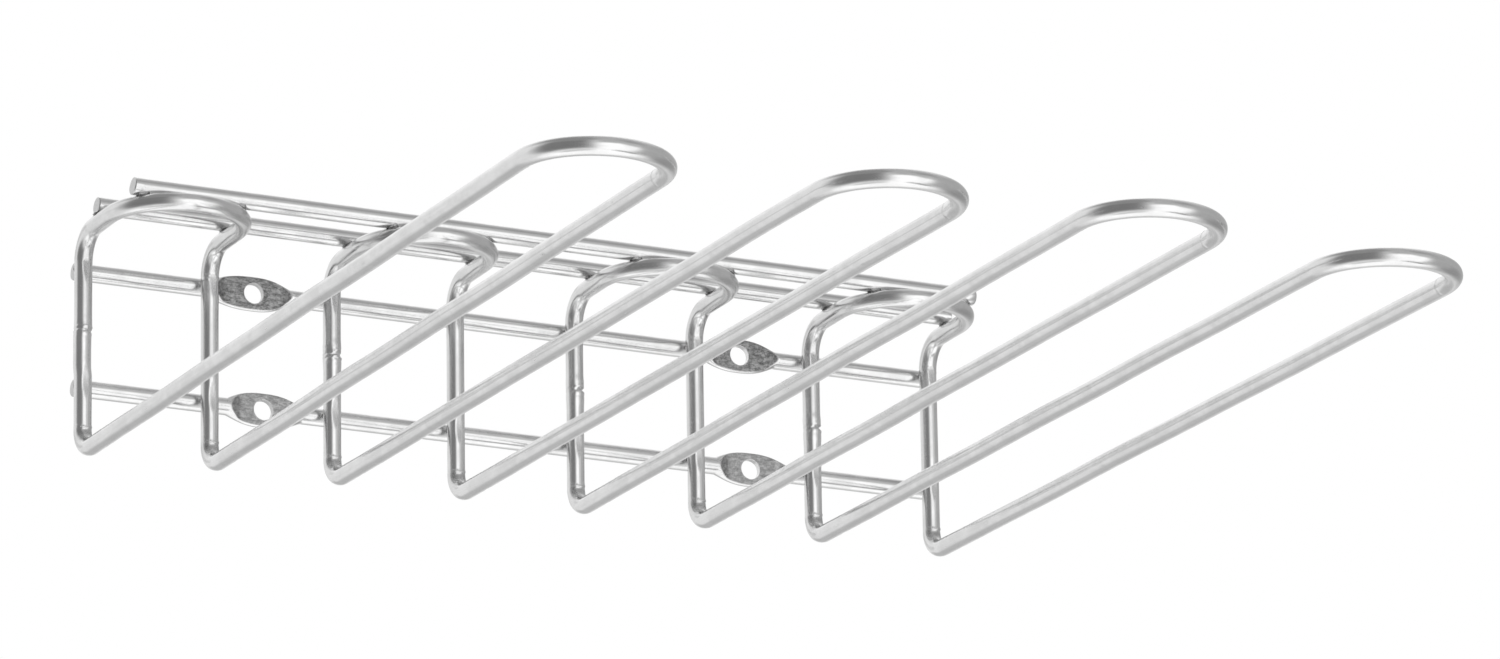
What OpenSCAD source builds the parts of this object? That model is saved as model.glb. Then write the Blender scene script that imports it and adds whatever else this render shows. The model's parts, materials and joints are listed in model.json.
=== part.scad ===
// Wall hook rack of stainless wire. Four closed wire hooks, each with a pair of long level arms below and a
// small level loop above, are welded to two wall rails with pressed screw eyes and to two rods that lie on
// the small loops as a ledge. +Z is up, the arms point along -Y, and the wall is the plane y = 0.
// The origin is on the wall, in the middle of the rack and halfway between the two rails.

/* [Wire] */
// Diameter of the wire that every hook, rail and rod is made from
wire_d = 6; // [5:0.5:7]
// How far two crossing wires sink into each other where they are welded
weld_sink = 0.3; // [0.1:0.05:0.5]

/* [Hooks] */
// Distance from one hook to the next
hook_pitch = 90; // [80:1:110]
// Distance between the two legs of a hook, centre to centre
hook_width = 45.5; // [40:0.5:50]
// Distance from the legs to the centre of the round end of the arms
arm_reach = 352.5; // [200:0.5:400]
// Height of a leg, from the arms to the small loop, centre to centre
leg_height = 75.5; // [70:0.5:90]
// Distance from the legs to the centre of the round end of the small loop
loop_reach = 23.5; // [22:0.5:30]
// Bend radius at the foot of a leg, at the centre of the wire
foot_bend_r = 8; // [6:0.5:10]
// Bend radius at the top of a leg, at the centre of the wire
top_bend_r = 10; // [6:0.5:12]
// Sideways lean of the arms of each hook, in degrees, as they are bent
arm_yaw = [-0.4, 0.9, 0.8, -0.3]; // [-1:0.1:1]
// Droop of the arms of each hook below the level, in degrees, as they are bent
arm_droop = [1, 0.6, 0.3, 1.1]; // [0:0.1:1.5]

/* [Wall rails] */
// Length of the wall rails and of the rear ledge rod
rail_length = 318; // [316:1:320]
// Height of the lower rail above the arms, centre to centre
lower_rail_height = 23.75; // [20:0.25:26]
// Distance from the lower rail to the upper one
rail_spacing = 40.5; // [38:0.5:42]
// Distance between the two screw holes of a rail
hole_spacing = 181.5; // [178:0.5:183]
// Distance that the eyes of the upper rail stand to the left of those of the lower rail
upper_eye_shift = 3.5; // [0:0.5:4]
// Diameter of a screw hole
hole_d = 7; // [5:0.5:7]
// Height of an eye, where the rail is pressed flat
eye_height = 12.2; // [11:0.2:13]
// Thickness of an eye
eye_thickness = 2.2; // [2:0.1:3]
// Length of a pressed eye from one round end to the other
eye_length = 32; // [26:0.5:34]
// How far each hole is punched to the left of the middle of its eye
hole_offset = 0; // [0:0.5:3]

/* [Ledge rods] */
// Length of the front ledge rod
front_rod_length = 312; // [308:1:316]
// Distance from the legs to the rear rod, centre to centre
rear_rod_reach = 14.25; // [13:0.25:16]
// Distance from the legs to the front rod, centre to centre
front_rod_reach = 38.5; // [34:0.5:40]

/* [Welds] */
// Diameter of the weld that joins two crossing wires
spot_d = 4.4; // [3.5:0.1:5]
// Height of the middle of a butt weld above the arms, one for each hook
butt_height = [42.5, 43.5, 42.5, 39.5]; // [36:0.5:48]
// Length of a butt weld along the leg
butt_length = 1.8; // [1:0.1:3]
// How far a butt weld stands out from the wire all round
butt_crown = 0.25; // [0.1:0.05:0.5]

/* [Hidden] */
hook_count = 4;
$fn = 64;

wire_r = wire_d / 2;
cross = wire_d - weld_sink;               // between the centres of two crossing wires
rail_y = -wire_r;                         // the rails touch the wall
leg_y = rail_y - cross;
arm_z = -lower_rail_height - rail_spacing / 2;
lower_rail_z = -rail_spacing / 2;
upper_rail_z = rail_spacing / 2;
loop_z = arm_z + leg_height;
rod_z = loop_z + cross;
rear_rod_y = leg_y - rear_rod_reach;
front_rod_y = leg_y - front_rod_reach;
loop_r = hook_width / 2;
eye_arc_r = (pow(eye_length / 2, 2) + pow(eye_height / 2, 2)) / eye_height;
// the flat of an eye ends where its outline is as high as the wire
flat_length = 2 * sqrt(pow(eye_arc_r, 2) - pow(eye_arc_r - eye_height / 2 + wire_r, 2));
neck_lap = 0.4;
steel = [0.78, 0.79, 0.80];
polished = [0.86, 0.87, 0.88];
weld_grey = [0.62, 0.63, 0.65];
swell = 0.04;                             // foot bends and front ends are this much thicker than the wire
lap = 0.2;                                // and take in this much of each straight wire that meets them

// x of the middle of hook number i, counted from 0 at the left
function hook_x(i) = (i - (hook_count - 1) / 2) * hook_pitch;
// x, measured from the middle of a hook, where the front ledge rod crosses the round end of the small loop
front_cross_x = sqrt(pow(loop_r, 2) - pow(front_rod_reach - loop_reach, 2));

// A straight wire that starts at the origin and runs along +Z
module straight(length) {
    cylinder(d = wire_d, h = length);
}

// A wire bent through an angle about +Z, which starts at [radius, 0, 0] and runs towards +Y
module bend(radius, angle, d = wire_d) {
    rotate_extrude(angle = angle) translate([radius, 0]) circle(d = d);
}

// Distance from the corner of leg and arm to where the foot bend meets either of them
function foot_reach(droop) = foot_bend_r * tan(45 - droop / 2);

// One arm of a hook with the foot bend that leads up from it. The leg's centre line is the Z axis
module arm(length, droop) {
    start = foot_reach(droop) - lap;
    rotate([90 + droop, 0, 0]) translate([0, 0, start]) straight(length - start + lap);
    translate([0, -foot_bend_r, foot_reach(droop)]) rotate([0, 90, 0]) rotate([0, 0, droop])
        bend(foot_bend_r, 90 - droop, wire_d + swell);
}

// The leg above the foot bend with the straight of the small loop, cut in two around a butt weld if it has one
module leg(weld_height, has_weld) {
    foot = foot_bend_r - 2 * lap;
    top = leg_height - top_bend_r;
    if (has_weld) {
        translate([0, 0, foot]) straight(weld_height - butt_length / 2 - foot);
        translate([0, 0, weld_height + butt_length / 2]) straight(top - weld_height - butt_length / 2);
    } else {
        translate([0, 0, foot]) straight(top - foot);
    }
    translate([0, -top_bend_r, top]) rotate([0, 90, 0]) rotate([0, 0, 90]) bend(top_bend_r, 90);
    translate([0, -top_bend_r, leg_height]) rotate([90, 0, 0]) straight(loop_reach - top_bend_r);
}

// Hook number i: one wire, open only at its butt weld
module hook_wire(i) {
    yaw = arm_yaw[i];
    droop = arm_droop[i];
    half = loop_r * cos(yaw);
    translate([hook_x(i), leg_y, arm_z]) {
        for (side = [-1, 1]) translate([side * loop_r, 0, 0]) {
            rotate([0, 0, yaw]) arm(arm_reach - side * loop_r * sin(yaw), droop);
            leg(butt_height[i], side < 0);
        }
        rotate([0, 0, yaw]) rotate([droop, 0, 0]) translate([0, -arm_reach, 0]) rotate([0, 0, 180])
            bend(half, 180, wire_d + swell);
        translate([0, -loop_reach, leg_height]) rotate([0, 0, 180]) bend(loop_r, 180);
    }
}

module hook(i) {
    color(polished) hook_wire(i);
}

// The crowned bead that closes the wire of hook number i, on its left leg
module butt_weld(i) {
    half = butt_length / 2;
    color(weld_grey)
    translate([hook_x(i) - loop_r, leg_y, arm_z + butt_height[i]])
        rotate_extrude() polygon([[0, -half], [wire_r, -half], [wire_r + butt_crown, -half / 3],
                                  [wire_r + butt_crown, half / 3], [wire_r, half], [0, half]]);
}

// Outline of an eye, seen from the front: two arcs that meet on the rail's centre line
module eye_outline() {
    intersection_for (side = [-1, 1]) translate([0, side * (eye_arc_r - eye_height / 2)])
        circle(r = eye_arc_r, $fn = 128);
}

// A screw eye pressed in a rail that runs along X, with its middle at the origin and its hole along Y
module eye() {
    difference() {
        rotate([90, 0, 0]) translate([0, 0, -eye_thickness / 2]) linear_extrude(eye_thickness)
            intersection() {
                eye_outline();
                square([flat_length, eye_height], center = true);
            }
        translate([-hole_offset, 0, 0]) rotate([90, 0, 0]) cylinder(d = hole_d, h = wire_d, center = true);
    }
    for (side = [-1, 1]) hull() {
        translate([side * (flat_length / 2 - neck_lap), 0, 0]) cube([neck_lap, eye_thickness, wire_d], center = true);
        translate([side * eye_length / 2, 0, 0]) rotate([0, 90, 0])
            cylinder(d = wire_d, h = neck_lap, center = true, $fn = 32);
    }
}

// A round rail along X from x0 to x1
module rail_run(x0, x1) {
    translate([x0, 0, 0]) rotate([0, 90, 0]) straight(x1 - x0);
}

// A wall rail with its two eyes, with saddles where the legs of the hooks sink into it
module wall_rail(z, shift) {
    left = -hole_spacing / 2 - shift + hole_offset;
    right = hole_spacing / 2 - shift + hole_offset;
    difference() {
        translate([0, rail_y, z]) {
            rail_run(-rail_length / 2, left - eye_length / 2);
            rail_run(left + eye_length / 2, right - eye_length / 2);
            rail_run(right + eye_length / 2, rail_length / 2);
            for (x = [left, right]) translate([x, 0, 0]) eye();
        }
        for (i = [0 : hook_count - 1]) for (side = [-1, 1])
            translate([hook_x(i) + side * loop_r, leg_y, z - wire_d]) straight(2 * wire_d);
    }
}

module upper_wall_rail() {
    color(steel) wall_rail(upper_rail_z, upper_eye_shift);
}

module lower_wall_rail() {
    color(steel) wall_rail(lower_rail_z, 0);
}

// The small loop of hook number i alone, long enough to cut its saddles
module small_loop(i) {
    translate([hook_x(i), leg_y, loop_z]) {
        for (side = [-1, 1]) translate([side * loop_r, 0, 0]) rotate([90, 0, 0]) straight(loop_reach);
        translate([0, -loop_reach, 0]) rotate([0, 0, 180]) bend(loop_r, 180);
    }
}

// A ledge rod at a given y, with saddles where the small loops sink into it
module ledge_rod(y, length) {
    difference() {
        translate([0, y, rod_z]) rail_run(-length / 2, length / 2);
        for (i = [0 : hook_count - 1]) small_loop(i);
    }
}

module rear_ledge_rod() {
    color(steel) ledge_rod(rear_rod_y, rail_length);
}

module front_ledge_rod() {
    color(steel) ledge_rod(front_rod_y, front_rod_length);
}

// Welds between the legs of hook number i and the two wall rails
module rail_welds(i, $fn = 160) {
    color(weld_grey)
    for (side = [-1, 1]) for (z = [lower_rail_z, upper_rail_z]) difference() {
        translate([hook_x(i) + side * loop_r, (leg_y + rail_y) / 2, z]) rotate([90, 0, 0])
            cylinder(d = spot_d, h = wire_d, center = true);
        translate([hook_x(i) + side * loop_r, leg_y, z - wire_d]) straight(2 * wire_d);
        translate([hook_x(i) + side * loop_r, rail_y, z]) rail_run(-wire_d, wire_d);
    }
}

// Welds between the small loop of hook number i and the two ledge rods
module rod_welds(i, $fn = 160) {
    color(weld_grey)
    for (side = [-1, 1]) for (spot = [[loop_r, rear_rod_y], [front_cross_x, front_rod_y]]) difference() {
        translate([hook_x(i) + side * spot[0], spot[1], (loop_z + rod_z) / 2])
            cylinder(d = spot_d, h = wire_d, center = true);
        small_loop(i);
        translate([hook_x(i) + side * spot[0], spot[1], rod_z]) rail_run(-wire_d, wire_d);
    }
}

hook(0);  // hook_1
hook(1);  // hook_2
hook(2);  // hook_3
hook(3);  // hook_4
butt_weld(0);  // hook_1_butt_weld
butt_weld(1);  // hook_2_butt_weld
butt_weld(2);  // hook_3_butt_weld
butt_weld(3);  // hook_4_butt_weld
upper_wall_rail();
lower_wall_rail();
rear_ledge_rod();
front_ledge_rod();
rail_welds(0);  // hook_1_rail_welds
rail_welds(1);  // hook_2_rail_welds
rail_welds(2);  // hook_3_rail_welds
rail_welds(3);  // hook_4_rail_welds
rod_welds(0);  // hook_1_rod_welds
rod_welds(1);  // hook_2_rod_welds
rod_welds(2);  // hook_3_rod_welds
rod_welds(3);  // hook_4_rod_welds
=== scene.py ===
"""Wall hook rack of stainless wire: detailed meshes, procedural steels and a pale studio for the CAD frame.

Lengths named _MM and all of the shape code are in millimetres; Blender gets metres, in the CAD's frame.
The wall is the plane y = 0, the hooks reach out towards -y, and z is up.
"""
import json
import math
from collections import namedtuple

import bmesh
import bpy
import numpy as np
from mathutils import Matrix, Vector


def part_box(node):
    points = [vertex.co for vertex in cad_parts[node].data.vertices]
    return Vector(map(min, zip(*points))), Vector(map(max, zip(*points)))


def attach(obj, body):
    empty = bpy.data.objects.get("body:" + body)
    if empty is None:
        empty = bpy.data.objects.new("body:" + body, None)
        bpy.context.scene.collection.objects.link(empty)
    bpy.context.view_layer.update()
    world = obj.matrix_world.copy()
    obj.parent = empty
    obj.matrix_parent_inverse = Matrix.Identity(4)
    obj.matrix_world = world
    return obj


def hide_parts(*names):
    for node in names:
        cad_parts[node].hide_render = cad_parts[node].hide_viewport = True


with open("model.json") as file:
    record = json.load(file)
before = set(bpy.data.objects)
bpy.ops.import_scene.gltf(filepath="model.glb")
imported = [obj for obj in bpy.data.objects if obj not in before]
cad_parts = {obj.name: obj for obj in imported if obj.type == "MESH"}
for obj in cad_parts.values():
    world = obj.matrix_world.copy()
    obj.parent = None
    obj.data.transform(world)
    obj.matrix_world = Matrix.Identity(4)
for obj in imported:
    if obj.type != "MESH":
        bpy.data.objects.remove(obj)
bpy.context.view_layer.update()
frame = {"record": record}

MM = 0.001

# ---------------------------------------------------------------- sizes of the rack, as the CAD has them
HOOKS = (1, 2, 3, 4)
RAILS = ("upper_wall_rail", "lower_wall_rail")
RODS = ("rear_ledge_rod", "front_ledge_rod")
HOOK_WIDTH_MM = 45.5
ARM_REACH_MM = 352.5
LEG_HEIGHT_MM = 75.5
LOOP_REACH_MM = 23.5
FOOT_BEND_MM = 8.0
TOP_BEND_MM = 10.0
ARM_YAW_DEG = {1: -0.4, 2: 0.9, 3: 0.8, 4: -0.3}
ARM_DROOP_DEG = {1: 1.0, 2: 0.6, 3: 0.3, 4: 1.1}
HOLE_R_MM = 3.5
EYE_HALF_THICKNESS_MM = 1.1


def middle(node):
    """Middle of a CAD node's box."""
    lo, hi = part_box(node)
    return (lo + hi) / 2 / MM


def size(node):
    """Width, depth and height of a CAD node's box."""
    lo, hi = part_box(node)
    return (hi - lo) / MM


WIRE_R = size("front_ledge_rod").z / 2
RAIL_Y = middle("lower_wall_rail").y
LEG_Y = middle("hook_1_butt_weld").y
LOOP_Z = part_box("hook_1")[1].z / MM - WIRE_R
ARM_Z = LOOP_Z - LEG_HEIGHT_MM
LOOP_R = HOOK_WIDTH_MM / 2
ROD_Z = middle("front_ledge_rod").z
RIGHT, BACK, UP = np.eye(3)
FRONT, DOWN = -BACK, -UP

# Seeds of what is drawn at random; those of hooks, rails and welds have the piece's number added to them.
NICK_SEED, SIDE_WANDER_SEED, RISE_WANDER_SEED = 40, 60, 70
RAIL_WELD_SEED, ROD_WELD_SEED = 0, 500
RAIL_SEED, REAR_ROD_SEED, FRONT_ROD_SEED = 11, 21, 22

# How finely the meshes are divided: points round a wire, an eye, a screw hole and a weld bead; steps of a
# wire's centre line; and the distance between rings on plain wire, in a bend, next to one and at a mark.
WIRE_COLUMNS = 44
EYE_COLUMNS = 72
HOLE_COLUMNS = 64
BEAD_COLUMNS = 48
FINE_MM = 0.2
COARSE_MM = 4.0
BEND_RINGS_MM = 1.0
TIGHT_BEND_RINGS_MM = 0.7
BEND_END_RINGS_MM = 0.8
MARK_RINGS_MM = 0.6
BUTT_RINGS_MM = 0.4


# ---------------------------------------------------------------- shape helpers
def unit(v):
    return v / np.linalg.norm(v, axis=-1, keepdims=True)


def smooth(x):
    """Soft step from 0 to 1 while x goes from 0 to 1."""
    x = np.clip(x, 0, 1)
    return x * x * (3 - 2 * x)


def bump(x, centre, half_width):
    """1 at centre, falling smoothly to 0 at half_width from it."""
    return smooth(1 - np.abs(x - centre) / half_width)


def wander(s, seed, waves, amplitude):
    """A slow, repeatable wobble along s made of a few sines."""
    rng = np.random.default_rng(seed)
    total = sum(np.sin(2 * np.pi * s / wave + rng.uniform(0, 2 * np.pi)) for wave in waves)
    return amplitude * total / len(waves)


def ring_angles(count):
    return np.arange(count) / count * 2 * np.pi


def tube_faces(rings, columns, first=0):
    """Quads between successive rings of points; the winding is put right by face_outward."""
    k = first + np.arange(rings - 1)[:, None] * columns
    j = np.arange(columns)[None, :]
    n = (j + 1) % columns
    return np.stack([k + j, k + n, k + columns + n, k + columns + j], -1).reshape(-1, 4).tolist()


def closed_tube_faces(rings, columns, first=0):
    """The same, with a face over the first ring and one over the last."""
    ends = [[first + ring * columns + j for j in range(columns)] for ring in (0, rings - 1)]
    return tube_faces(rings, columns, first) + ends


# ---------------------------------------------------------------- mesh helpers
WIRE_SHARP_DEG = 35
DRILLED_SHARP_DEG = 30
BEAD_SHARP_DEG = 60


def face_outward(mesh):
    made = bmesh.new()
    made.from_mesh(mesh)
    bmesh.ops.recalc_face_normals(made, faces=made.faces)
    made.to_mesh(mesh)
    made.free()


def build_mesh(name, verts, faces, coords, pressed=0.0, cut=0.0, sharp_deg=WIRE_SHARP_DEG):
    """A closed mesh whose points keep their pattern coordinates ('wire', in mm) and their finish masks."""
    verts = np.asarray(verts, float).reshape(-1, 3)
    mesh = bpy.data.meshes.new(name)
    mesh.from_pydata((verts * MM).tolist(), [], faces)
    face_outward(mesh)
    store = mesh.attributes.new("wire", "FLOAT_VECTOR", "POINT")
    store.data.foreach_set("vector", np.asarray(coords, np.float32).ravel())
    for key, values in (("pressed", pressed), ("cut", cut)):
        store = mesh.attributes.new(key, "FLOAT", "POINT")
        store.data.foreach_set("value", np.broadcast_to(values, len(verts)).astype(np.float32))
    mesh.polygons.foreach_set("use_smooth", [True] * len(mesh.polygons))
    mesh.set_sharp_from_angle(angle=math.radians(sharp_deg))
    mesh.update()
    return mesh


def add_piece(name, mesh, node, material):
    """Puts a mesh in the scene as the piece that stands for a CAD node."""
    mesh.materials.append(material)
    piece = bpy.data.objects.new(name, mesh)
    bpy.context.scene.collection.objects.link(piece)
    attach(piece, "root")
    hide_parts(node)
    return piece


# ---------------------------------------------------------------- wire paths
class Path:
    """Centre line of a wire in fine steps, with the direction of the bend's centre at each point."""

    def __init__(self, start):
        self.points = [np.array(start, float)]
        self.toward = [np.zeros(3)]
        self.bends = []

    def line(self, end):
        a, b = self.points[-1], np.array(end, float)
        count = max(1, math.ceil(np.linalg.norm(b - a) / FINE_MM))
        self.points += [a + (b - a) * k / count for k in range(1, count + 1)]
        self.toward += [np.zeros(3)] * count

    def arc(self, centre, axis, degrees):
        """Turns the last point about an axis through centre."""
        start = self.points[-1] - centre
        radius = np.linalg.norm(start)
        count = math.ceil(math.radians(degrees) * radius / FINE_MM)
        for k in range(1, count + 1):
            p = np.array(Matrix.Rotation(math.radians(degrees * k / count), 3, Vector(axis))) @ start
            self.points.append(centre + p)
            self.toward.append(-p / radius)

    def corner(self, at, end, radius):
        """Runs straight towards a corner and round it with a bend of that radius, ready to go on to end."""
        p, c, e = self.points[-1], np.array(at, float), np.array(end, float)
        into, out = unit(c - p), unit(e - c)
        turn = math.acos(float(np.clip(into @ out, -1, 1)))
        self.line(c - into * radius * math.tan(turn / 2))
        first = len(self.points) - 1
        axis = unit(np.cross(into, out))
        self.arc(self.points[-1] + np.cross(axis, into) * radius, axis, math.degrees(turn))
        self.bends.append((first, len(self.points) - 1))


class Wire:
    """A swept round wire whose surface can be pressed, ridged and ovalised before it becomes a mesh.

    A mark is at a station, in mm along the wire, on the side that faces the direction toward.
    """

    GRAZING = 0.2            # cosine under which a press from one side no longer reaches the surface
    FULLY_DULL_MM = 0.06     # depth at which a press has dulled the surface all it can
    RIDGE_EDGE = 0.7         # cosine at which a ridge reaches its full height
    RIDGE_MARGIN_MM = 0.6    # fine rings on each side of a ridge
    DULL_EDGE = 0.5          # how far past GRAZING a dulled patch fades in

    def __init__(self, path, columns):
        self.p = np.array(path.points)
        self.s = np.r_[0, np.cumsum(np.linalg.norm(np.diff(self.p, axis=0), axis=1))]
        tangent = unit(np.gradient(self.p, axis=0))
        across = [unit(RIGHT - tangent[0] * (RIGHT @ tangent[0]))]
        for t in tangent[1:]:
            across.append(unit(across[-1] - t * (across[-1] @ t)))
        across = np.array(across)
        self.phi = ring_angles(columns)
        cos, sin = np.cos(self.phi)[None, :, None], np.sin(self.phi)[None, :, None]
        self.radial = across[:, None, :] * cos + np.cross(tangent, across)[:, None, :] * sin
        self.radius = np.full(self.radial.shape[:2], WIRE_R)
        self.pressed = np.zeros_like(self.radius)
        self.wanted = np.full(len(self.s), COARSE_MM)

    def want(self, at, reach, spacing):
        """Asks for closer rings round a station."""
        near = np.abs(self.s - at) < reach
        self.wanted = np.where(near, np.minimum(self.wanted, spacing), self.wanted)

    def flatten(self, at, reach, toward, depth, dull=0.3):
        """Presses a flat, deepest at the station."""
        self.want(at, reach, MARK_RINGS_MM)
        facing = self.radial @ toward
        flat = (WIRE_R - depth * bump(self.s, at, reach))[:, None] / np.maximum(facing, self.GRAZING)
        lower = np.where(facing > self.GRAZING, np.minimum(self.radius, flat), self.radius)
        self.pressed = np.maximum(self.pressed, dull * smooth((self.radius - lower) / self.FULLY_DULL_MM))
        self.radius = lower

    def ridge(self, at, width, toward, height, sag=0.0, dull=0.15):
        """Raises a line across the wire; sag curves it along the wire."""
        self.want(at, width + abs(sag) + self.RIDGE_MARGIN_MM, FINE_MM)
        facing = self.radial @ toward
        along = self.s[:, None] - at - sag * (1 - facing ** 2)
        amount = bump(along, 0, width) * smooth(facing / self.RIDGE_EDGE)
        self.radius = self.radius + height * amount
        self.pressed = np.maximum(self.pressed, dull * np.abs(amount))

    def dull(self, at, reach, toward, amount):
        """Dulls a patch without changing its shape."""
        facing = smooth((self.radial @ toward - self.GRAZING) / self.DULL_EDGE)
        self.pressed = np.maximum(self.pressed, amount * bump(self.s, at, reach)[:, None] * facing)

    def oval(self, toward, squeeze=0.05, spread=0.6):
        """Flattens the section slightly where the wire bends, and spreads it by a share of that."""
        inward = (self.radial * toward[:, None, :]).sum(-1)
        bent = np.linalg.norm(toward, axis=1)[:, None]
        self.radius = self.radius * (1 - squeeze * inward ** 2 + spread * squeeze * (bent ** 2 - inward ** 2))

    def rings(self):
        """The fine rings that are kept: close together only where something is to be seen."""
        rounding = 1e-6
        keep, last = [0], 0.0
        for k in range(1, len(self.s) - 1):
            if self.s[k] - last >= self.wanted[k] - rounding:
                keep.append(k)
                last = self.s[k]
        return np.array(keep + [len(self.s) - 1])

    def mesh(self, name):
        keep = self.rings()
        verts = self.p[keep, None, :] + self.radial[keep] * self.radius[keep][:, :, None]
        s, phi = np.broadcast_arrays(self.s[keep, None], self.phi[None, :])
        coords = np.stack([s, WIRE_R * np.cos(phi), WIRE_R * np.sin(phi)], -1)
        faces = closed_tube_faces(len(keep), len(self.phi))
        return build_mesh(name, verts, faces, coords, self.pressed[keep].ravel())


# ---------------------------------------------------------------- hooks
TOP_CREASE_MM = {1: 0.24, 2: 0.08, 3: 0.10, 4: 0.14}
WELD_FLAT_MM = 0.30                  # flat that a welding electrode leaves on the front of a leg
WELD_FLAT_REACH_MM = 7.0
CLAMP_REACH_MM = 2.6
CLAMP_LEAN = 0.6                     # how far the clamps lean over to the right
# Bending clamp marks: distance from the foot bend on the right and on the left arm, side and depth
CLAMP_MARKS = ((12, 12, DOWN, 0.16), (37, 40, UP, 0.10))
NICKS_PER_ARM = 3
NICK_FROM_MM, NICK_TO_MM = 50, 330   # stretch of each arm that has nicks, from the foot bend
NICK_REACH_MM = (1.0, 2.2)
NICK_DEPTH_MM = (0.03, 0.08)
# The arms aren't quite straight: amplitude and wave lengths of the wobble, sideways and in height, how far in
# front of the legs it starts and over what distance it grows
SIDE_WANDER_MM, SIDE_WAVES_MM = 0.14, (95, 170)
RISE_WANDER_MM, RISE_WAVES_MM = 0.12, (80, 210)
WANDER_FROM_MM, WANDER_GROWS_MM = 14, 30


def hook_frame(n):
    """Where hook n stands, and the directions across and along its arms."""
    x = middle(f"hook_{n}_rail_welds").x
    yaw, droop = math.radians(ARM_YAW_DEG[n]), math.radians(ARM_DROOP_DEG[n])
    side = np.array([math.cos(yaw), math.sin(yaw), 0])
    ahead = np.array([math.sin(yaw) * math.cos(droop), -math.cos(yaw) * math.cos(droop), -math.sin(droop)])
    return x, side, ahead


def hook_path(n):
    """From the top of the butt weld, round the small loop, down, out along the arms and back to the weld."""
    x, side, ahead = hook_frame(n)
    weld = middle(f"hook_{n}_butt_weld")
    gap = size(f"hook_{n}_butt_weld").z / 2
    left, right = x - LOOP_R, x + LOOP_R
    tip = np.array([x, LEG_Y, ARM_Z]) + ahead * ARM_REACH_MM
    half = LOOP_R * side[0]
    loop_front = LEG_Y - LOOP_REACH_MM
    path = Path([left, LEG_Y, weld.z + gap])
    path.corner([left, LEG_Y, LOOP_Z], [left, loop_front, LOOP_Z], TOP_BEND_MM)
    path.line([left, loop_front, LOOP_Z])
    path.arc(np.array([x, loop_front, LOOP_Z]), UP, 180)
    path.corner([right, LEG_Y, LOOP_Z], [right, LEG_Y, ARM_Z], TOP_BEND_MM)
    path.corner([right, LEG_Y, ARM_Z], tip + side * half, FOOT_BEND_MM)
    path.line(tip + side * half)
    path.arc(tip, unit(np.cross(side, ahead)), 180)
    path.corner([left, LEG_Y, ARM_Z], [left, LEG_Y, weld.z], FOOT_BEND_MM)
    path.line([left, LEG_Y, weld.z - gap])
    return path


def crease_bends(wire, tops, feet, n):
    """Wrinkles and worn patches that the bending tools leave at the tops and feet of the legs."""
    (left_start, _), (_, right_end) = tops
    crease = TOP_CREASE_MM[n]
    wire.ridge(right_end + 0.4, width=0.7, toward=FRONT, height=crease, sag=0.2)
    wire.ridge(right_end - 1.0, width=0.6, toward=FRONT, height=0.6 * crease, sag=0.4)
    wire.ridge(left_start - 0.6, width=1.1, toward=FRONT, height=0.06, sag=0.6)
    wire.dull(left_start + 2.0, reach=6.0, toward=FRONT, amount=0.12)
    (foot_right, _), (_, foot_left) = feet
    for at, way in ((foot_right, 1), (foot_left, -1)):
        wire.ridge(at, width=0.6, toward=FRONT, height=0.28, sag=-0.8 * way)
        wire.dull(at + 2.6 * way, reach=3.2, toward=FRONT, amount=0.45)


def crease_tips(wire, out, back, n):
    """A wrinkle on the inside of each arm where it meets the round front end."""
    _, side, _ = hook_frame(n)
    length = ARM_REACH_MM - FOOT_BEND_MM
    for at, inside in ((out + length, -side), (back - length, side)):
        wire.ridge(at, width=0.7, toward=inside, height=0.16, sag=0.4)


def flatten_at_rails(wire, n):
    """Flats on the front of the legs, where the welding electrodes held them on the wall rails."""
    x = hook_frame(n)[0]
    rounding = 0.01
    for rail in RAILS:
        z = middle(rail).z
        for leg in (-1, 1):
            on_leg = (np.abs(wire.p[:, 1] - LEG_Y) < rounding) & (np.sign(wire.p[:, 0] - x) == leg)
            nearest = np.argmin(np.abs(wire.p[on_leg, 2] - z))
            wire.flatten(wire.s[np.flatnonzero(on_leg)[nearest]], WELD_FLAT_REACH_MM, FRONT, WELD_FLAT_MM)


def mark_arms(wire, out, back, n):
    """Clamp marks near the foot bends and a few nicks; the arms run from station out to station back."""
    for on_right, on_left, way, depth in CLAMP_MARKS:
        toward = unit(way + CLAMP_LEAN * RIGHT)
        wire.flatten(out + on_right, CLAMP_REACH_MM, toward, depth)
        wire.flatten(back - on_left, CLAMP_REACH_MM, toward, depth)
    rng = np.random.default_rng(NICK_SEED + n)
    on_right = rng.uniform(out + NICK_FROM_MM, out + NICK_TO_MM, NICKS_PER_ARM)
    on_left = rng.uniform(back - NICK_TO_MM, back - NICK_FROM_MM, NICKS_PER_ARM)
    for at in (*on_right, *on_left):
        angle = rng.uniform(0, 2 * np.pi)
        reach = rng.uniform(*NICK_REACH_MM)
        wire.flatten(at, reach, math.cos(angle) * RIGHT + math.sin(angle) * UP, rng.uniform(*NICK_DEPTH_MM))


def press_marks(wire, path, n):
    """All the marks on a hook's wire; each bend is known by the stations of its start and end."""
    bends = [[wire.s[k] for k in bend] for bend in path.bends]
    for first, last in bends:
        wire.want((first + last) / 2, reach=(last - first) / 2 + 2.5, spacing=TIGHT_BEND_RINGS_MM)
    top_left, top_right, foot_right, foot_left = bends
    out, back = foot_right[1], foot_left[0]
    crease_bends(wire, (top_left, top_right), (foot_right, foot_left), n)
    crease_tips(wire, out, back, n)
    flatten_at_rails(wire, n)
    mark_arms(wire, out, back, n)


def ovalise_bends(wire, path, toward):
    """Makes the section slightly oval in the four tight bends, eased in and out over a few steps."""
    ease_steps, blur_steps = 15, 21
    blur = np.hanning(blur_steps)
    eased = np.stack([np.convolve(toward[:, k], blur / blur.sum(), "same") for k in range(3)], -1)
    tight = np.zeros(len(wire.s))
    for first, last in path.bends:
        tight[max(0, first - ease_steps):last + ease_steps] = 1.0
    wire.oval(eased * tight[:, None])


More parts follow.
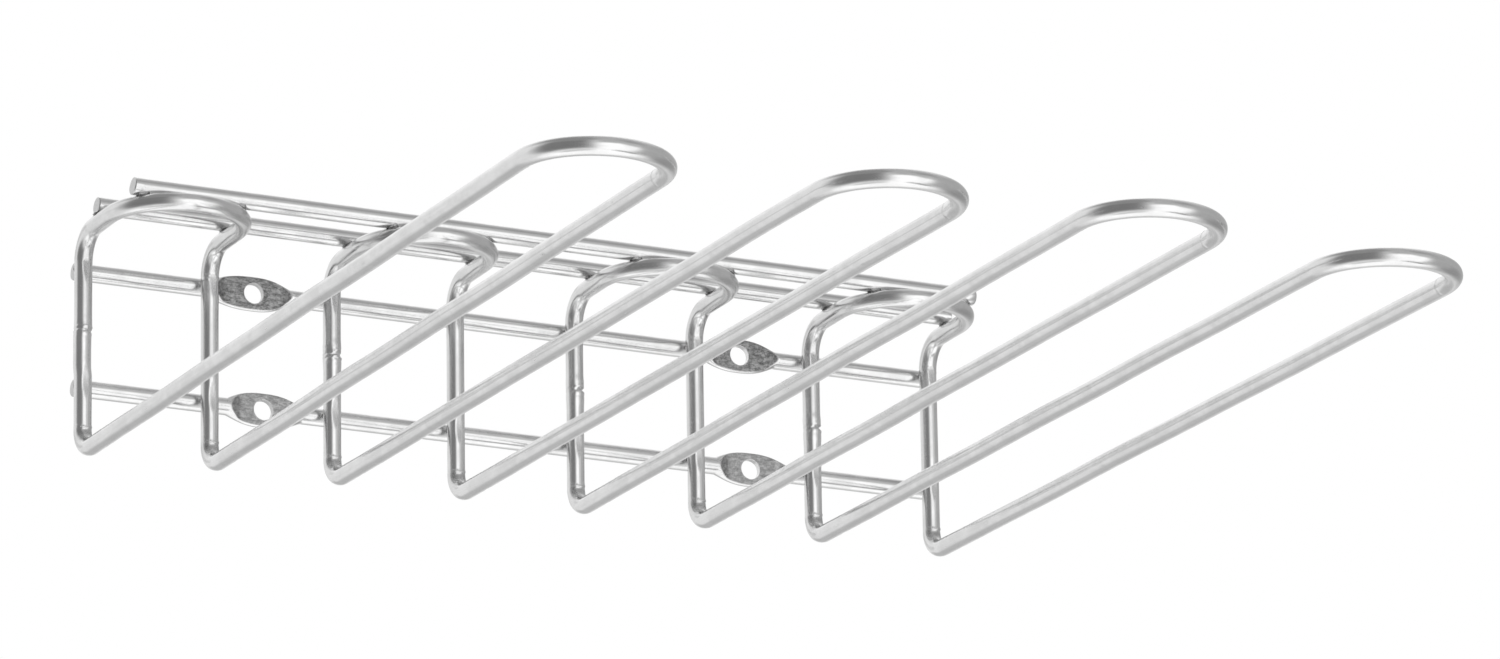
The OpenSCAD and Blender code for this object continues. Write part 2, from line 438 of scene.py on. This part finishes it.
def make_hook(n, material):
    path = hook_path(n)
    wire = Wire(path, WIRE_COLUMNS)
    toward = np.array(path.toward)
    ovalise_bends(wire, path, toward)
    bent = np.linalg.norm(toward, axis=1) > 0
    for k in np.flatnonzero(np.diff(bent))[1:]:
        wire.want(wire.s[k], reach=1.5, spacing=BEND_END_RINGS_MM)
    wire.wanted[bent] = np.minimum(wire.wanted[bent], BEND_RINGS_MM)
    press_marks(wire, path, n)
    join_butt(wire, n)
    on_arm = smooth((LEG_Y - WANDER_FROM_MM - wire.p[:, 1]) / WANDER_GROWS_MM)[:, None]
    wire.p += on_arm * (wander(wire.s, SIDE_WANDER_SEED + n, SIDE_WAVES_MM, SIDE_WANDER_MM)[:, None] * RIGHT
                        + wander(wire.s, RISE_WANDER_SEED + n, RISE_WAVES_MM, RISE_WANDER_MM)[:, None] * UP)
    return add_piece(f"hook_{n}_wire", wire.mesh(f"hook_{n}_wire"), f"hook_{n}", material)


# ---------------------------------------------------------------- butt welds
# Each butt weld, in mm: how far the lower wire steps to the right, depth of the neck, height of the shoulders
# and depth of the notch on the right, height of the lumps, and how far the neck is above the weld's middle.
ButtWeld = namedtuple("ButtWeld", "step neck shoulder notch lumps rise")
BUTT_WELDS = {
    1: ButtWeld(step=-0.28, neck=0.05, shoulder=0.04, notch=0.15, lumps=0.05, rise=-0.6),
    2: ButtWeld(step=0.05, neck=0.05, shoulder=0.12, notch=0.25, lumps=0.20, rise=0.8),
    3: ButtWeld(step=0.10, neck=0.05, shoulder=0.12, notch=0.55, lumps=0.07, rise=0.0),
    4: ButtWeld(step=0.12, neck=0.08, shoulder=0.14, notch=0.70, lumps=0.07, rise=0.0),
}
# Height above the neck and reach along the wire of the features of every butt weld
NECK_REACH_MM = 1.5
SHOULDERS_MM = ((2.9, 2.6), (-2.9, 3.4))
NOTCH_MM = (0.1, 0.9)
NOTCH_SIDE = unit(RIGHT + 0.5 * FRONT)
BULGES_MM = ((1.2, 0.7), (-1.3, 0.9))
BULGE_SIDE = unit(FRONT + 0.7 * RIGHT)
BULGE_HEIGHT_MM = 0.16
LUMPS_REACH_MM = 4.5
STEP_LENGTH_MM = 0.8
JOIN_REACH_MM = 16.0                 # the wire is back on its line this far from the weld
JOIN_FADE_MM = 4.0
BUTT_OVERLAP_MM = 0.25               # how far the upset metal runs on over each wire end


def butt_shape(n, z, radial):
    """Sideways offset and radius of the welded leg, z above the middle of the butt weld."""
    weld = BUTT_WELDS[n]
    rise = z[:, None] - weld.rise
    around = np.arctan2(radial[..., 1], radial[..., 0])
    radius = WIRE_R - weld.neck * bump(rise, 0, NECK_REACH_MM)
    for height, reach in SHOULDERS_MM:
        radius = radius + weld.shoulder * bump(rise, height, reach)
    radius = radius - weld.notch * bump(rise, *NOTCH_MM) * smooth(radial @ NOTCH_SIDE)
    for height, reach in BULGES_MM:
        radius = radius + BULGE_HEIGHT_MM * bump(rise, height, reach) * smooth(radial @ BULGE_SIDE)
    uneven = np.sin(3 * around + 2.1 * rise + n) * np.sin(2.6 * rise + 2 * n)
    uneven = uneven + 0.6 * np.sin(5 * around - 3.7 * rise)
    radius = radius + weld.lumps * uneven * bump(rise, 0, LUMPS_REACH_MM)
    below = smooth(0.5 - rise / STEP_LENGTH_MM) * smooth((JOIN_REACH_MM - np.abs(rise)) / JOIN_FADE_MM)
    return weld.step * below, radius


def join_butt(wire, n):
    """Shapes both ends of a hook's wire for its butt weld."""
    weld = middle(f"hook_{n}_butt_weld")
    length = wire.s[-1]
    near = (wire.s < JOIN_REACH_MM) | (wire.s > length - JOIN_REACH_MM)
    shift, radius = butt_shape(n, wire.p[near, 2] - weld.z, wire.radial[near])
    wire.radius[near] += radius - WIRE_R
    wire.p[near] += shift * RIGHT
    for end in (0.0, length):
        wire.want(end, reach=7.0, spacing=BUTT_RINGS_MM)


def make_butt_weld(n, material):
    """The upset metal between the two wire ends, a little proud of them, with a broken-up surface."""
    node = f"hook_{n}_butt_weld"
    centre = np.array(middle(node))
    half = size(node).z / 2 + BUTT_OVERLAP_MM
    rings, proud, sunk, edge = 15, 0.04, 0.04, 0.3
    z = np.linspace(-half, half, rings)
    phi = ring_angles(WIRE_COLUMNS)
    radial = np.broadcast_to(np.stack([np.cos(phi), np.sin(phi), 0 * phi], -1), (rings, WIRE_COLUMNS, 3))
    shift, radius = butt_shape(n, z, radial)
    inside = smooth((half - np.abs(z)) / edge)[:, None]
    ripple = 0.03 * np.sin(9 * phi[None, :] + 4 * z[:, None] + n)
    ripple = ripple + 0.02 * np.sin(17 * phi[None, :] - 7 * z[:, None])
    radius = radius - sunk + inside * (sunk + proud + ripple)
    coords = shift[..., None] * RIGHT + radial * radius[..., None] + z[:, None, None] * UP
    mesh = build_mesh(node, centre + coords, closed_tube_faces(rings, WIRE_COLUMNS), coords)
    return add_piece(f"{node}_bead", mesh, node, material)


# ---------------------------------------------------------------- cross welds
RAIL_BEAD_REACH_MM = 2.3
ROD_BEAD_REACH_MM = 2.4
BEAD_LOBES = (2, 3, 5, 8)            # waves round the bead's outline
BEAD_LOBE_MM, BEAD_LOBE_SHARES = 0.12, (0.3, 1)
BEAD_GRAIN = 0.05                    # fine ripple round the outer skin, as a share of the reach
BEAD_ROWS = 8                        # rings of points on the outer skin
BEAD_HOLLOW = 0.20                   # how far the outer skin curves in, as a share of the reach
BEAD_INNER = 0.62                    # the inner edge, as a share of the reach
BEAD_SKIN_SINK_MM, BEAD_INNER_SINK_MM = 0.04, 0.5


def bead(contact, away, along_a, along_b, half_gap, reach, seed):
    """Weld metal squeezed out round the contact of two crossing wires, a behind it and b ahead of it.

    A closed ring whose outer skin runs from one wire's surface to the other's in a shallow hollow.
    """
    rng = np.random.default_rng(seed)
    theta = ring_angles(BEAD_COLUMNS)
    q = np.cos(theta)[:, None] * along_a + np.sin(theta)[:, None] * np.cross(away, along_a)
    lobes = sum(rng.uniform(*BEAD_LOBE_SHARES) * np.sin(k * theta + rng.uniform(0, 6.3)) for k in BEAD_LOBES)
    reach = reach + BEAD_LOBE_MM * lobes
    skin = np.linspace(0, 1, BEAD_ROWS)
    rows = [(v, 1 - BEAD_HOLLOW * math.sin(math.pi * v), BEAD_SKIN_SINK_MM) for v in skin]
    rows += [(v, BEAD_INNER, BEAD_INNER_SINK_MM) for v in (1.0, 0.0)]
    verts = []
    for v, share, sink in rows:
        grain = BEAD_GRAIN * np.sin(13 * theta + 9 * v + seed) * math.sin(math.pi * v)
        flat = q * (reach * (share + grain))[:, None]
        off_axis = [np.minimum(flat @ np.cross(away, axis), WIRE_R) for axis in (along_a, along_b)]
        near = [np.sqrt(WIRE_R ** 2 - d ** 2) for d in off_axis]
        height = (1 - v) * (near[0] - half_gap - sink) + v * (half_gap - near[1] + sink)
        verts.append(contact + flat + height[:, None] * away)
    faces = tube_faces(len(rows), BEAD_COLUMNS)
    last = (len(rows) - 1) * BEAD_COLUMNS
    j = np.arange(BEAD_COLUMNS)
    n = (j + 1) % BEAD_COLUMNS
    faces += np.stack([last + j, last + n, n, j], -1).tolist()
    return np.concatenate(verts), faces


def add_beads(node, beads, material):
    verts, faces = [], []
    for made, made_faces in beads:
        first = sum(len(v) for v in verts)
        verts.append(made)
        faces += [[k + first for k in face] for face in made_faces]
    verts = np.concatenate(verts)
    mesh = build_mesh(node, verts, faces, verts, sharp_deg=BEAD_SHARP_DEG)
    return add_piece(f"{node}_beads", mesh, node, material)


def make_rail_welds(n, material):
    x = hook_frame(n)[0]
    half_gap = (RAIL_Y - LEG_Y) / 2
    beads = []
    for k, rail in enumerate(RAILS):
        for side in (-1, 1):
            contact = np.array([x + side * LOOP_R, (LEG_Y + RAIL_Y) / 2, middle(rail).z])
            seed = RAIL_WELD_SEED + 100 * n + 10 * k + side
            beads.append(bead(contact, BACK, UP, RIGHT, half_gap, RAIL_BEAD_REACH_MM, seed))
    return add_beads(f"hook_{n}_rail_welds", beads, material)


def make_rod_welds(n, material):
    x = hook_frame(n)[0]
    half_gap = (ROD_Z - LOOP_Z) / 2
    beads = []
    for k, rod in enumerate(RODS):
        y = middle(rod).y
        ahead = max(0.0, LEG_Y - LOOP_REACH_MM - y)
        out = math.sqrt(LOOP_R ** 2 - ahead ** 2)
        for side in (-1, 1):
            along = np.array([side * ahead, out, 0]) / LOOP_R
            contact = np.array([x + side * out, y, (LOOP_Z + ROD_Z) / 2])
            seed = ROD_WELD_SEED + 100 * n + 10 * k + side
            beads.append(bead(contact, UP, along, RIGHT, half_gap, ROD_BEAD_REACH_MM, seed))
    return add_beads(f"hook_{n}_rod_welds", beads, material)


# ---------------------------------------------------------------- rails and rods
CHAMFER_MM = 0.35
# Rings of a sawn end, from the bar outwards: share of the bar's section, how far out as a share of the
# chamfer, and how much of the sawn finish it has
SAWN_END = ((0.965, 0.55, 0.6), (0.90, 0.95, 1.0), (0.84, 1.0, 1.0), (0.4, 1.0, 1.0))
SAWN_UNEVEN = 0.02
SAWN_WAVES = (6.3, 2.1, 1.3)


def closed_bar(xs, section, tilt, seed):
    """Points, faces and 'cut' mask of a bar along x, from its axis, with sawn, slightly uneven ends.

    section(x) gives a ring's y and z offsets, and tilt is how far the left and the right end lean over.
    """
    rng = np.random.default_rng(seed)
    rings = [(x, *section(x), 0.0, 0.0) for x in xs]
    ends = []
    for out, (x, y, z, _, _) in ((-1, rings[0]), (1, rings[-1])):
        rough = 1 + SAWN_UNEVEN * wander(ring_angles(len(y)), rng.integers(1000), SAWN_WAVES, 1.0)
        ends.append([(x + out * CHAMFER_MM * rise, y * share * rough, z * share * rough, cut, rise)
                     for share, rise, cut in SAWN_END])
    rings = ends[0][::-1] + rings + ends[1]
    verts, cut_mask = [], []
    for k, (x, y, z, cut, rise) in enumerate(rings):
        lean = (tilt[0] if k < len(rings) / 2 else tilt[1]) * z * rise
        verts.append(np.stack([x + lean, y, z], -1))
        cut_mask.append(np.full(len(y), cut))
    return np.concatenate(verts), closed_tube_faces(len(rings), len(y)), np.concatenate(cut_mask)


# Each eye, in mm from its hole: how far its outline reaches to the left and to the right, and where the dies
# start to ramp up on the left and on the right.
Eye = namedtuple("Eye", "left right flat_left flat_right")
EYES = {
    "upper_wall_rail": (Eye(16.5, 13.0, 11.0, 9.0), Eye(13.5, 13.2, 9.2, 9.8)),
    "lower_wall_rail": (Eye(13.3, 13.8, 9.0, 9.4), Eye(13.3, 14.2, 9.0, 10.0)),
}
STAMP_SHARE = {"upper_wall_rail": 1.0, "lower_wall_rail": 0.8}   # how strong the die's dark finish is
EYE_SWELL_MM = 3.05                  # how far an eye is higher than the wire, above and below
OUTLINE_POWERS = (2.6, 1.25)         # fullness of the eye's outline, and how it runs out in the wire
# Each die's ramp rises by this much in each length of ease, and starts softly over about one length
RAMP_EASE_MM = 0.35
LEFT_RAMP_MM, RIGHT_RAMP_MM = 0.2, 0.15
EYE_EDGE_MM = 0.07                   # softness of the edge between an eye's flat and what is left of the wire
THIN_MM = 0.05                       # the wire isn't pressed where it is thinner than this
STAMP_EDGE_MM, STAMP_LEAD = 0.25, 0.2   # how softly the die's finish starts, and its share at the very edge
EYE_SPAN_MM, EYE_STEP_MM = 18.0, 0.4
RAIL_STEP_MM = 3.0
ROD_RINGS = 110
ROD_PATTERN_SHIFT_MM = 1000.0        # keeps the pattern of one rod apart from the other's
ROD_WANDER_MM, ROD_WAVES_MM = 0.05, (70, 160)


def eye_shape(x, eye):
    """Half height of an eye and half the thickness left between the dies, x mm to the right of its hole."""
    full, run_out = OUTLINE_POWERS
    swell = np.maximum(0, 1 - np.abs(x / np.where(x < 0, eye.left, eye.right)) ** full) ** run_out
    die = EYE_HALF_THICKNESS_MM + LEFT_RAMP_MM * np.logaddexp(0, (-x - eye.flat_left) / RAMP_EASE_MM)
    die = die + RIGHT_RAMP_MM * np.logaddexp(0, (x - eye.flat_right) / RAMP_EASE_MM)
    return WIRE_R + EYE_SWELL_MM * swell, die


def eye_section(x, phi, eye):
    """Section of an eye: flat front and back, with what is left of the round wire at top and bottom."""
    tall, die = eye_shape(x, eye)
    thick = WIRE_R * np.abs(np.cos(phi))
    low = -EYE_EDGE_MM * np.log(np.exp(-thick / EYE_EDGE_MM) + np.exp(-die / EYE_EDGE_MM))
    low = np.where(thick < THIN_MM, thick, np.minimum(low, thick))
    return -np.sign(np.cos(phi)) * np.maximum(low, 0), tall * np.sin(phi)


def make_rail(name, holes, material, seed, tilt):
    """A wall rail with its two pressed eyes and their screw holes at the given x."""
    lo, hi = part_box(name)
    z0 = middle(name).z
    first, last = lo.x / MM + CHAMFER_MM, hi.x / MM - CHAMFER_MM
    holes = np.array(holes)
    fine = [np.arange(x - EYE_SPAN_MM, x + EYE_SPAN_MM + 0.01, EYE_STEP_MM) for x in holes]
    clear = EYE_SPAN_MM + EYE_STEP_MM
    coarse = [x for x in np.arange(first, last, RAIL_STEP_MM) if np.abs(holes - x).min() > clear]
    xs = np.unique(np.round(np.concatenate([coarse, *fine, [last]]), 4))
    phi = ring_angles(EYE_COLUMNS)

    def section(x):
        k = np.argmin(np.abs(holes - x))
        return eye_section(x - holes[k], phi, EYES[name][k])

    verts, faces, cut = closed_bar(xs, section, tilt, seed)
    pressed = np.zeros(len(verts))
    for at, eye in zip(holes, EYES[name]):
        tall, die = eye_shape(verts[:, 0] - at, eye)
        thick = WIRE_R * np.sqrt(np.maximum(0, 1 - (verts[:, 2] / tall) ** 2))
        stamped = smooth((thick - die) / STAMP_EDGE_MM + STAMP_LEAD)
        pressed = np.maximum(pressed, STAMP_SHARE[name] * stamped)
    mesh = build_mesh(name, verts + np.array([0, RAIL_Y, z0]), faces, verts, pressed, cut)
    rail = add_piece(name + "_wire", mesh, name, material)
    drill_holes(rail, [(x, z0) for x in holes])
    return rail


def drill_holes(rail, centres):
    """Drills the screw holes, with a small chamfer at each mouth."""
    chamfer, above, below, clear = 0.07, 0.03, 0.06, 4
    wide = HOLE_R_MM + chamfer
    mouth, bore = EYE_HALF_THICKNESS_MM + above, EYE_HALF_THICKNESS_MM - below
    profile = ((-clear, wide), (-mouth, wide), (-bore, HOLE_R_MM),
               (bore, HOLE_R_MM), (mouth, wide), (clear, wide))
    phi = ring_angles(HOLE_COLUMNS)
    verts, faces = [], []
    for x, z in centres:
        faces += closed_tube_faces(len(profile), HOLE_COLUMNS, len(verts) * HOLE_COLUMNS)
        verts += [np.stack([x + r * np.cos(phi), np.full_like(phi, RAIL_Y + y), z + r * np.sin(phi)], -1)
                  for y, r in profile]
    verts = np.concatenate(verts)
    drill = bpy.data.objects.new("drill", build_mesh("drill", verts, faces, verts, cut=1.0))
    bpy.context.scene.collection.objects.link(drill)
    hole = rail.modifiers.new("holes", "BOOLEAN")
    hole.operation, hole.object, hole.solver = "DIFFERENCE", drill, "EXACT"
    bpy.context.view_layer.update()
    made = bpy.data.meshes.new_from_object(rail.evaluated_get(bpy.context.evaluated_depsgraph_get()))
    rail.modifiers.clear()
    rail.data = made
    made.set_sharp_from_angle(angle=math.radians(DRILLED_SHARP_DEG))
    bpy.data.objects.remove(drill)


def make_rod(name, material, seed, tilt):
    lo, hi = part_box(name)
    mid = middle(name)
    first, last = lo.x / MM + CHAMFER_MM, hi.x / MM - CHAMFER_MM
    phi = ring_angles(WIRE_COLUMNS)
    ring = WIRE_R * np.cos(phi), WIRE_R * np.sin(phi)
    verts, faces, cut = closed_bar(np.linspace(first, last, ROD_RINGS), lambda x: ring, tilt, seed)
    coords = verts + np.array([ROD_PATTERN_SHIFT_MM * seed, 0, 0])
    verts = verts + np.array([0, mid.y, mid.z])
    verts = verts + wander(verts[:, 0], seed, ROD_WAVES_MM, ROD_WANDER_MM)[:, None] * BACK
    mesh = build_mesh(name, verts, faces, coords, cut=cut)
    return add_piece(name + "_wire", mesh, name, material)


# ---------------------------------------------------------------- node building
class Graph:
    """Builds a node tree: a plain value or another node's output goes into each input."""

    def __init__(self, tree):
        self.tree = tree

    def feed(self, socket, value):
        if isinstance(value, bpy.types.NodeSocket):
            self.tree.links.new(value, socket)
        else:
            socket.default_value = value

    def node(self, kind, inputs=None, **settings):
        made = self.tree.nodes.new("ShaderNode" + kind)
        for key, value in settings.items():
            setattr(made, key, value)
        for key, value in (inputs or {}).items():
            self.feed(made.inputs[key], value)
        return made

    def math(self, operation, *values):
        made = self.node("Math", operation=operation)
        for socket, value in zip(made.inputs, values):
            self.feed(socket, value)
        return made.outputs[0]

    def step(self, value, low, high, out_low=0.0, out_high=1.0):
        """A soft step from out_low to out_high while value goes from low to high."""
        limits = {"From Min": low, "From Max": high, "To Min": out_low, "To Max": out_high}
        made = self.node("MapRange", {"Value": value, **limits}, interpolation_type="SMOOTHSTEP")
        return made.outputs["Result"]

    def blend(self, share, a, b):
        """a where share is 0, b where it is 1."""
        made = self.node("Mix", data_type="FLOAT")
        for socket, value in zip((made.inputs[0], made.inputs[2], made.inputs[3]), (share, a, b)):
            self.feed(socket, value)
        return made.outputs[0]

    def grey(self, level):
        return self.node("CombineColor", {0: level, 1: level, 2: level}).outputs[0]

    def noise(self, coords, scale, stretch=(1, 1, 1), detail=3.0, roughness=0.55, offset=(0, 0, 0)):
        """Noise with scale waves per mm; stretch squeezes (over 1) or draws out (under 1) each axis."""
        scales = [scale * k for k in stretch]
        placed = self.node("Mapping", {"Vector": coords, "Scale": scales, "Location": offset})
        look = {"Scale": 1.0, "Detail": detail, "Roughness": roughness}
        return self.node("TexNoise", {"Vector": placed.outputs[0], **look}).outputs["Fac"]

    def attribute(self, name):
        return self.node("Attribute", attribute_name=name)


# ---------------------------------------------------------------- materials
MOST = (0.3, 0.7)                    # nearly all values of a noise are between these
MOTTLE = (-0.035, 0.0245)            # how much the grey varies in cloudy patches
STREAK_TONE = (-0.015, 0.015)        # and in streaks along the wire
CLOUD_ROUGHNESS = (0.04, -0.03)
LINE_ROUGHNESS = (-0.02, 0.03)
STAMPED_TONE = (0.20, 0.48)          # grey of the dark and the bright dabs that a die leaves
STAMPED_GRAIN_TONE = (-0.07, 0.10)
STAMPED_ROUGHNESS = (0.46, 0.30)
CUT_TONE = (-0.20, -0.02)            # grey of a sawn end, from the steel's own
CUT_ROUGHNESS = 0.42
GRAIN_HEIGHT_PLAIN, GRAIN_HEIGHT_PRESSED = 0.02, 1.0
BUMP_STRENGTH = 0.4
BUMP_DISTANCE_M = 0.00004


def steel(name, grey, rough, line_height=0.12, wave_height=1.2):
    """Drawn stainless wire: fine lines along it, cloudy handling marks, dull pressed flats and sawn ends."""
    mat = bpy.data.materials.new(name)
    mat.use_nodes = True
    g = Graph(mat.node_tree)
    bsdf = mat.node_tree.nodes["Principled BSDF"]
    bsdf.inputs["Metallic"].default_value = 1.0
    coords = g.attribute("wire").outputs["Vector"]
    pressed = g.attribute("pressed").outputs["Fac"]
    cut = g.attribute("cut").outputs["Fac"]
    lines = g.noise(coords, 3.0, (0.015, 1, 1), detail=2.0)
    streaks = g.noise(coords, 1.1, (0.03, 1, 1), detail=3.0, offset=(3, 7, 1))
    clouds = g.noise(coords, 0.12, (1, 1.6, 1.6), detail=4.0, roughness=0.6, offset=(9, 2, 5))
    waves = g.noise(coords, 0.16, (0.5, 1, 1), detail=1.0, offset=(1, 6, 3))
    grains = g.noise(coords, 2.2, detail=3.0, roughness=0.7, offset=(4, 4, 8))
    dabs = g.noise(coords, 0.9, (0.4, 1, 1), detail=5.0, roughness=0.75, offset=(2, 9, 4))

    tone = g.math("ADD", g.step(clouds, 0.35, 0.65, *MOTTLE), g.step(streaks, *MOST, *STREAK_TONE))
    level = g.math("ADD", grey, tone)
    stamped = g.math("ADD", g.step(dabs, 0.40, 0.63, *STAMPED_TONE),
                     g.step(grains, 0.35, 0.7, *STAMPED_GRAIN_TONE))
    level = g.blend(pressed, level, stamped)
    level = g.blend(cut, level, g.step(grains, *MOST, grey + CUT_TONE[0], grey + CUT_TONE[1]))
    g.feed(bsdf.inputs["Base Color"], g.grey(level))

    cloudy = g.step(clouds, *MOST, rough + CLOUD_ROUGHNESS[0], rough + CLOUD_ROUGHNESS[1])
    roughness = g.math("ADD", cloudy, g.step(lines, *MOST, *LINE_ROUGHNESS))
    roughness = g.blend(pressed, roughness, g.step(grains, *MOST, *STAMPED_ROUGHNESS))
    roughness = g.blend(cut, roughness, CUT_ROUGHNESS)
    g.feed(bsdf.inputs["Roughness"], roughness)

    height = g.math("ADD", g.math("MULTIPLY", lines, line_height), g.math("MULTIPLY", waves, wave_height))
    grain_height = g.blend(pressed, GRAIN_HEIGHT_PLAIN, GRAIN_HEIGHT_PRESSED)
    height = g.math("ADD", height, g.math("MULTIPLY", grain_height, grains))
    relief = g.node("Bump", {"Strength": BUMP_STRENGTH, "Distance": BUMP_DISTANCE_M, "Height": height})
    g.feed(bsdf.inputs["Normal"], relief.outputs[0])
    return mat


# ---------------------------------------------------------------- studio
# The camera stands in front of the rack, to its left and below it: where it looks from the y axis towards +x,
# how far it looks up, and how far it is turned about its line of sight.
CAM_AZIMUTH_DEG = 26.37
CAM_RISE_DEG = 17.30
CAM_ROLL_DEG = -1.03
CAM_DISTANCE_M = 3.1206
CAM_TARGET_M = (0.0892, -0.0087, 0.0285)
CAM_LENS_MM = 217.5
CAM_SENSOR_MM = 36.0
CAM_CLIP_M = (0.1, 60)
FLOOR_Z_M = -1.25
FLOOR_HALF_M = 8.0
FLOOR_TONE = (0.86, 0.89)
FLOOR_ROUGHNESS = 0.9
FLOOR_GLOW = 0.45
WALL_LEVEL = 0.86                    # brightness of the studio between its panels
# Soft panels of the studio, each (azimuth, elevation, half width, half height, soft edge, level) in degrees:
# azimuth from the front (-Y) towards +X. Later panels cover earlier ones.
PANELS = (
    (0, 90, 180, 38, 12, 0.30),        # dim ceiling
    (75, 72, 80, 28, 16, 0.50),        # lighter ceiling on the right
    (178, 34, 15, 12, 9, 1.00),        # high windows at the back
    (135, 44, 26, 16, 10, 1.15),
    (172, -22, 22, 15, 8, 0.54),       # low shade at the back on the right
    (-64, 9, 41, 50, 16, 0.22),        # dark side on the left
    (90, 2, 48, 48, 14, 0.45),         # grey side on the right
    (106, -22, 18, 22, 12, 0.34),      # its darker lower part
    (14, 46, 27, 22, 8, 0.50),         # shade over the front softbox
    (50, 52, 18, 12, 8, 0.36),
    (32, -35, 9, 42, 7, 1.28),         # lower right part of the front softbox
    (4, -27, 20, 49, 8, 1.28),         # front softbox
    (29, 27, 9, 13, 6, 0.54),          # shade along the softbox's upper right edge
    (0, -90, 180, 38, 9, 1.30),        # light table below
    (-62, -64, 40, 9, 8, 0.66),        # its dimmer left side
    (44, -55, 26, 5, 4, 0.26),         # a gap in it
)


def make_camera():
    az, el, roll = (math.radians(a) for a in (CAM_AZIMUTH_DEG, CAM_RISE_DEG, CAM_ROLL_DEG))
    look = Vector((math.sin(az) * math.cos(el), math.cos(az) * math.cos(el), math.sin(el)))
    level = Vector((math.cos(az), -math.sin(az), 0))
    above = level.cross(look)
    right = math.cos(roll) * level + math.sin(roll) * above
    up = right.cross(look)
    data = bpy.data.cameras.new("camera")
    data.lens, data.sensor_width = CAM_LENS_MM, CAM_SENSOR_MM
    data.clip_start, data.clip_end = CAM_CLIP_M
    camera = bpy.data.objects.new("camera", data)
    bpy.context.scene.collection.objects.link(camera)
    spot = Vector(CAM_TARGET_M) - look * CAM_DISTANCE_M
    turn = Matrix((right, up, -look)).transposed().to_4x4()
    camera.matrix_world = Matrix.Translation(spot) @ turn
    bpy.context.scene.camera = camera


def floor_paint():
    """Matt pale paint with faint flecks and a soft glow of its own, like a lit sweep."""
    mat = bpy.data.materials.new("floor_paint")
    mat.use_nodes = True
    g = Graph(mat.node_tree)
    bsdf = mat.node_tree.nodes["Principled BSDF"]
    place = g.node("TexCoord").outputs["Object"]
    fleck = g.node("TexNoise", {"Vector": place, "Scale": 3.0, "Detail": 4.0}).outputs["Fac"]
    g.feed(bsdf.inputs["Base Color"], g.grey(g.step(fleck, *MOST, *FLOOR_TONE)))
    bsdf.inputs["Roughness"].default_value = FLOOR_ROUGHNESS
    bsdf.inputs["Emission Color"].default_value = (1, 1, 1, 1)
    bsdf.inputs["Emission Strength"].default_value = FLOOR_GLOW
    return mat


def make_floor():
    """A pale floor, a good way below, which the steel doesn't reflect."""
    mesh = bpy.data.meshes.new("floor")
    ways = ((-1, -1), (1, -1), (1, 1), (-1, 1))
    corners = [(x * FLOOR_HALF_M, y * FLOOR_HALF_M, FLOOR_Z_M) for x, y in ways]
    mesh.from_pydata(corners, [], [(0, 1, 2, 3)])
    floor = bpy.data.objects.new("floor", mesh)
    bpy.context.scene.collection.objects.link(floor)
    mesh.materials.append(floor_paint())
    floor.visible_glossy = False


def make_studio():
    """White behind the rack; the steel reflects a ring of large soft panels of different brightness."""
    world = bpy.data.worlds.new("studio")
    bpy.context.scene.world = world
    world.use_nodes = True
    g = Graph(world.node_tree)
    back = world.node_tree.nodes["Background"]
    way = g.node("SeparateXYZ", {0: g.node("TexCoord").outputs["Generated"]}).outputs
    azimuth = g.math("DEGREES", g.math("ARCTAN2", way[0], g.math("MULTIPLY", way[1], -1.0)))
    elevation = g.math("DEGREES", g.math("ARCSINE", way[2]))
    level = WALL_LEVEL
    for az, el, half_w, half_h, soft, brightness in PANELS:
        off = g.math("ABSOLUTE", g.math("WRAP", g.math("SUBTRACT", azimuth, az), -180.0, 180.0))
        rise = g.math("ABSOLUTE", g.math("SUBTRACT", elevation, el))
        across = g.step(off, half_w + soft, half_w - soft)
        inside = g.math("MULTIPLY", across, g.step(rise, half_h + soft, half_h - soft))
        level = g.blend(inside, level, brightness)
    seen = g.node("LightPath").outputs["Is Camera Ray"]
    g.feed(back.inputs["Color"], g.grey(g.blend(seen, level, 1.0)))
    bpy.context.scene.view_settings.view_transform = "Standard"


# ---------------------------------------------------------------- the whole rack
def screw_holes(rail):
    """Where the CAD's screw holes are along a rail, from the record's mounts."""
    mounts = {m["name"]: m for m in frame["record"]["mounts"]}
    screws = mounts[rail.split("_")[0] + "_wall_screws"]
    at, half = screws["pos_m"][0] / MM, screws["dims"]["spacing_x_mm"] / 2
    return at - half, at + half


def main():
    hook_steel = steel("hook_steel", grey=0.80, rough=0.21)
    rail_steel = steel("rail_steel", grey=0.80, rough=0.20, line_height=0.02, wave_height=0.2)
    rod_steel = steel("rod_steel", grey=0.80, rough=0.19, line_height=0.015, wave_height=0.12)
    weld_metal = steel("weld_metal", grey=0.62, rough=0.34)
    upset_metal = steel("upset_metal", grey=0.76, rough=0.24)
    # The rod weld beads are painted darker than the other welds: painted shade for the crevice where each rod
    # sits on a loop
    rod_weld_painted_shade = steel("rod_weld_painted_shade", grey=0.45, rough=0.38)
    for n in HOOKS:
        make_hook(n, hook_steel)
        make_butt_weld(n, upset_metal)
        make_rail_welds(n, weld_metal)
        make_rod_welds(n, rod_weld_painted_shade)
    for k, name in enumerate(RAILS):
        make_rail(name, screw_holes(name), rail_steel, seed=RAIL_SEED + k, tilt=(0.03, -0.05))
    make_rod("rear_ledge_rod", rod_steel, seed=REAR_ROD_SEED, tilt=(0.06, 0.02))
    make_rod("front_ledge_rod", rod_steel, seed=FRONT_ROD_SEED, tilt=(0.10, -0.03))
    make_camera()
    make_floor()
    make_studio()


main()
